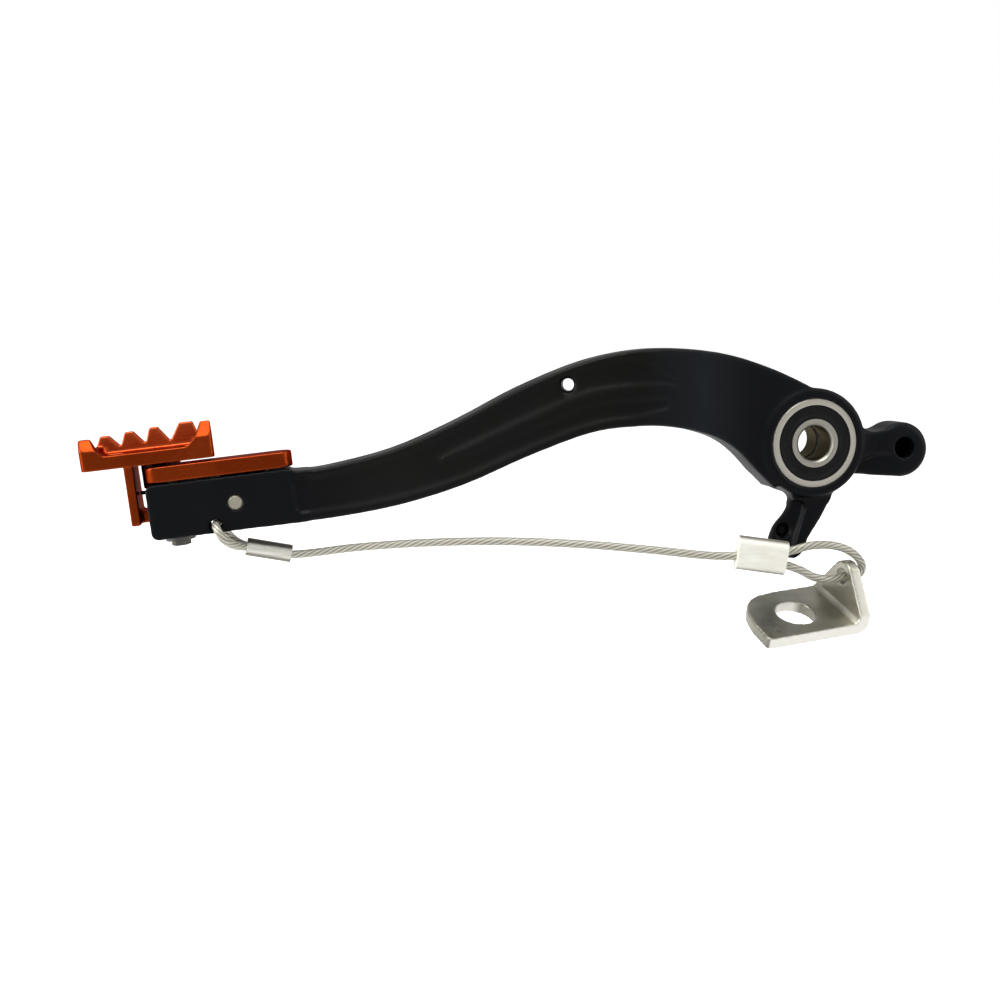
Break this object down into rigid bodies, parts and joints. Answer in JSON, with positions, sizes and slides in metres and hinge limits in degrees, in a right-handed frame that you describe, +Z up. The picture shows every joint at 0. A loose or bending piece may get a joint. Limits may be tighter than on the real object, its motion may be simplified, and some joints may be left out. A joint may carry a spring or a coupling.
{
  "type": "rear brake pedal",
  "caption": "Rear brake pedal with a bent black arm, sealed pivot bearings, a folding orange toothed tip and a steel safety cable with its bolt-on tab.",
  "frame": {"origin": "middle of the pivot bore, halfway between the two bearings", "axes": "+X towards the rear lobe, +Y along the pivot towards the outboard side with the folding tip, +Z up"},
  "size_m": [0.2467, 0.0775, 0.0836],
  "materials": {
    "black_arm": "satin black coated forged aluminium",
    "bearing_steel": "ground bearing steel",
    "cage_brass": "pressed cage",
    "seal_rubber": "black rubber seal",
    "orange_tip": "orange anodised, machined",
    "pin_steel": "stainless pins, screw and washer",
    "spring_black": "black spring wire",
    "cable_cover": "steel rope in a clear cover",
    "ferrule_aluminium": "bright pressed ferrules",
    "tab_steel": "polished stainless plate"
  },
  "bodies": {
    "pedal": {"pedal_arm": "black_arm", "near_outer_ring": "bearing_steel", "near_face_seal": "seal_rubber", "near_back_seal": "seal_rubber", "far_outer_ring": "bearing_steel", "far_face_seal": "seal_rubber", "far_back_seal": "seal_rubber", "bearing_spacer": "pin_steel", "tip_mount": "orange_tip", "torsion_spring": "spring_black", "mount_screw": "pin_steel", "screw_washer": "pin_steel", "dowel_pin": "pin_steel", "safety_cable": "cable_cover", "front_ferrule": "ferrule_aluminium", "rear_ferrule": "ferrule_aluminium", "cable_tab": "tab_steel"},
    "folding_tip": {"tread": "orange_tip", "hinge_pin": "pin_steel", "pin_clip": "pin_steel"},
    "inner_rings": {"near_inner_ring": "bearing_steel", "far_inner_ring": "bearing_steel"},
    "ball_sets": {"near_balls": "bearing_steel", "near_cage": "cage_brass", "far_balls": "bearing_steel", "far_cage": "cage_brass"}
  },
  "joints": [
    {"name": "tip_fold", "type": "hinge", "parent": "pedal", "child": "folding_tip", "pos_m": [-0.1854, 0.038, -0.02441], "axis": [0.1305, 0, -0.9914], "range_deg": [0, 75], "stiffness_Nm_per_rad": 0.25, "springref_deg": -28.65, "deforming": ["torsion_spring"]},
    {"name": "pivot_turn", "type": "hinge", "parent": "pedal", "child": "inner_rings", "pos_m": [0, 0, 0], "axis": [0, 1, 0], "continuous": true},
    {"name": "ball_orbit", "type": "hinge", "parent": "pedal", "child": "ball_sets", "pos_m": [0, 0, 0], "axis": [0, 1, 0], "continuous": true}
  ],
  "couplings": [
    {"joint": "ball_orbit", "follows": "pivot_turn", "ratio": 0.368}
  ]
}
